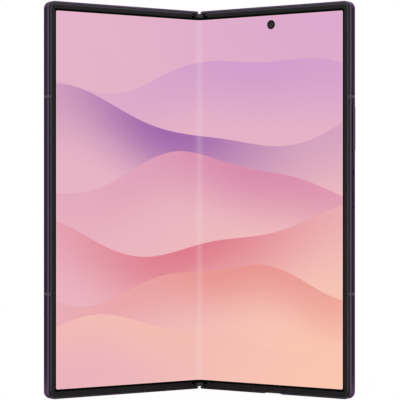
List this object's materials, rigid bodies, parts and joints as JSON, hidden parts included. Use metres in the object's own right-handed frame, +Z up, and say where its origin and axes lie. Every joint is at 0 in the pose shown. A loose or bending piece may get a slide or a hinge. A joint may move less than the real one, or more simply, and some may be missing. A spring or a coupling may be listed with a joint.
{
  "type": "foldable smartphone",
  "caption": "Book-style foldable smartphone standing half open, with an inner folding display, a gear-coupled hinge, side keys, a camera island and a card tray.",
  "frame": {"origin": "centre of the bounding box's base, on the plane that the phone's lower edges stand on, half open", "axes": "+X towards the right half seen from the front, +Y from the open faces back towards the spine, +Z up along the hinge"},
  "size_m": [0.1241, 0.0422, 0.1584],
  "materials": {
    "frame_metal": "satin anodised",
    "antenna_plastic": "satin",
    "rim_plastic": "soft matte",
    "cap_plastic": "soft matte",
    "display_film": "gloss",
    "lens_window": "clear coated",
    "support_steel": "rolled",
    "hinge_steel": "machined",
    "pin_steel": "ground",
    "screw_steel": "black oxide",
    "gear_brass": "machined",
    "battery_foil": "laminated pouch",
    "board_laminate": "solder mask",
    "can_steel": "plated",
    "coil_copper": "enamelled wire",
    "ribbon_film": "polyimide film",
    "camera_black": "anti-glare",
    "back_glass": "satin glass",
    "ring_metal": "polished",
    "flash_lens": "frosted",
    "black_plastic": "matte",
    "panel_black": "gloss",
    "card_plastic": "gloss"
  },
  "bodies": {
    "spine": {"spine_cover": "frame_metal", "hinge_bracket_upper": "hinge_steel", "hinge_bracket_lower": "hinge_steel", "hinge_pins": "pin_steel", "disc_springs": "pin_steel", "bracket_screws": "screw_steel", "fold_cap_top": "cap_plastic", "fold_cap_bottom": "cap_plastic", "display_fold": "display_film", "fold_ribbon_cable": "ribbon_film"},
    "right_half": {"right_frame": "frame_metal", "right_antenna_breaks": "antenna_plastic", "right_rim": "rim_plastic", "display_right": "display_film", "right_support_plate": "support_steel", "right_wing_plate": "support_steel", "right_rotators": "hinge_steel", "right_rotator_screws": "screw_steel", "right_battery": "battery_foil", "right_board": "board_laminate", "shield_cans": "can_steel", "charging_coil": "coil_copper", "inner_camera": "camera_black", "inner_camera_window": "lens_window", "rear_camera_modules": "camera_black", "back_glass": "back_glass", "camera_island": "frame_metal", "lens_rings": "ring_metal", "lens_glasses": "lens_window", "flash_window": "flash_lens", "port_shell": "can_steel", "port_tongue": "black_plastic", "lower_speaker": "black_plastic", "key_switch_strip": "ribbon_film"},
    "left_half": {"left_frame": "frame_metal", "left_antenna_breaks": "antenna_plastic", "left_rim": "rim_plastic", "display_left": "display_film", "left_support_plate": "support_steel", "left_wing_plate": "support_steel", "left_rotators": "hinge_steel", "left_rotator_screws": "screw_steel", "left_battery": "battery_foil", "left_board": "board_laminate", "cover_panel": "panel_black", "cover_glass": "back_glass", "cover_camera": "camera_black", "earpiece": "black_plastic", "vibration_motor": "can_steel", "card_reader": "can_steel"},
    "volume_rocker": {"volume_key": "frame_metal"},
    "side_button": {"side_key": "frame_metal"},
    "tray": {"card_tray": "frame_metal", "card": "card_plastic"},
    "right_arms": {"right_sync_arms": "hinge_steel"},
    "left_arms": {"left_sync_arms": "hinge_steel"},
    "right_idlers": {"right_idler_gears": "gear_brass"},
    "left_idlers": {"left_idler_gears": "gear_brass"}
  },
  "joints": [
    {"name": "right_fold", "type": "hinge", "parent": "spine", "child": "right_half", "pos_m": [0.00075, 0.01782, 0.0792], "axis": [0, 0, -1], "range_deg": [-33.05, 56.95], "deforming": ["display_fold", "fold_ribbon_cable"]},
    {"name": "left_fold", "type": "hinge", "parent": "spine", "child": "left_half", "pos_m": [-0.00075, 0.01782, 0.0792], "axis": [0, 0, 1], "range_deg": [-33.05, 56.95], "deforming": ["display_fold", "fold_ribbon_cable"]},
    {"name": "right_arm_turn", "type": "hinge", "parent": "spine", "child": "right_arms", "pos_m": [0.0018, 0.01942, 0.0792], "axis": [0, 0, -1], "range_deg": [-33.05, 56.95]},
    {"name": "left_arm_turn", "type": "hinge", "parent": "spine", "child": "left_arms", "pos_m": [-0.0018, 0.01942, 0.0792], "axis": [0, 0, 1], "range_deg": [-33.05, 56.95]},
    {"name": "right_idler_turn", "type": "hinge", "parent": "spine", "child": "right_idlers", "pos_m": [0.0006, 0.01942, 0.0792], "axis": [0, 0, 1], "range_deg": [-33.05, 56.95]},
    {"name": "left_idler_turn", "type": "hinge", "parent": "spine", "child": "left_idlers", "pos_m": [-0.0006, 0.01942, 0.0792], "axis": [0, 0, -1], "range_deg": [-33.05, 56.95]},
    {"name": "volume_press", "type": "hinge", "parent": "right_half", "child": "volume_rocker", "pos_m": [0.06134, -0.01898, 0.1077], "axis": [0.5454, 0.8382, 0], "range_deg": [-1.2, 1.2], "stiffness_Nm_per_rad": 0.4},
    {"name": "side_press", "type": "slide", "parent": "right_half", "child": "side_button", "axis": [-0.8382, 0.5454, 0], "range_m": [0, 0.00025], "stiffness_N_per_m": 4000},
    {"name": "tray_pull", "type": "slide", "parent": "left_half", "child": "tray", "axis": [0, 0, 1], "range_m": [0, 0.022]}
  ],
  "couplings": [
    {"joint": "left_fold", "follows": "right_fold", "ratio": 1},
    {"joint": "right_arm_turn", "follows": "right_fold", "ratio": 1},
    {"joint": "left_arm_turn", "follows": "right_fold", "ratio": 1},
    {"joint": "right_idler_turn", "follows": "right_fold", "ratio": 1},
    {"joint": "left_idler_turn", "follows": "right_fold", "ratio": 1}
  ]
}
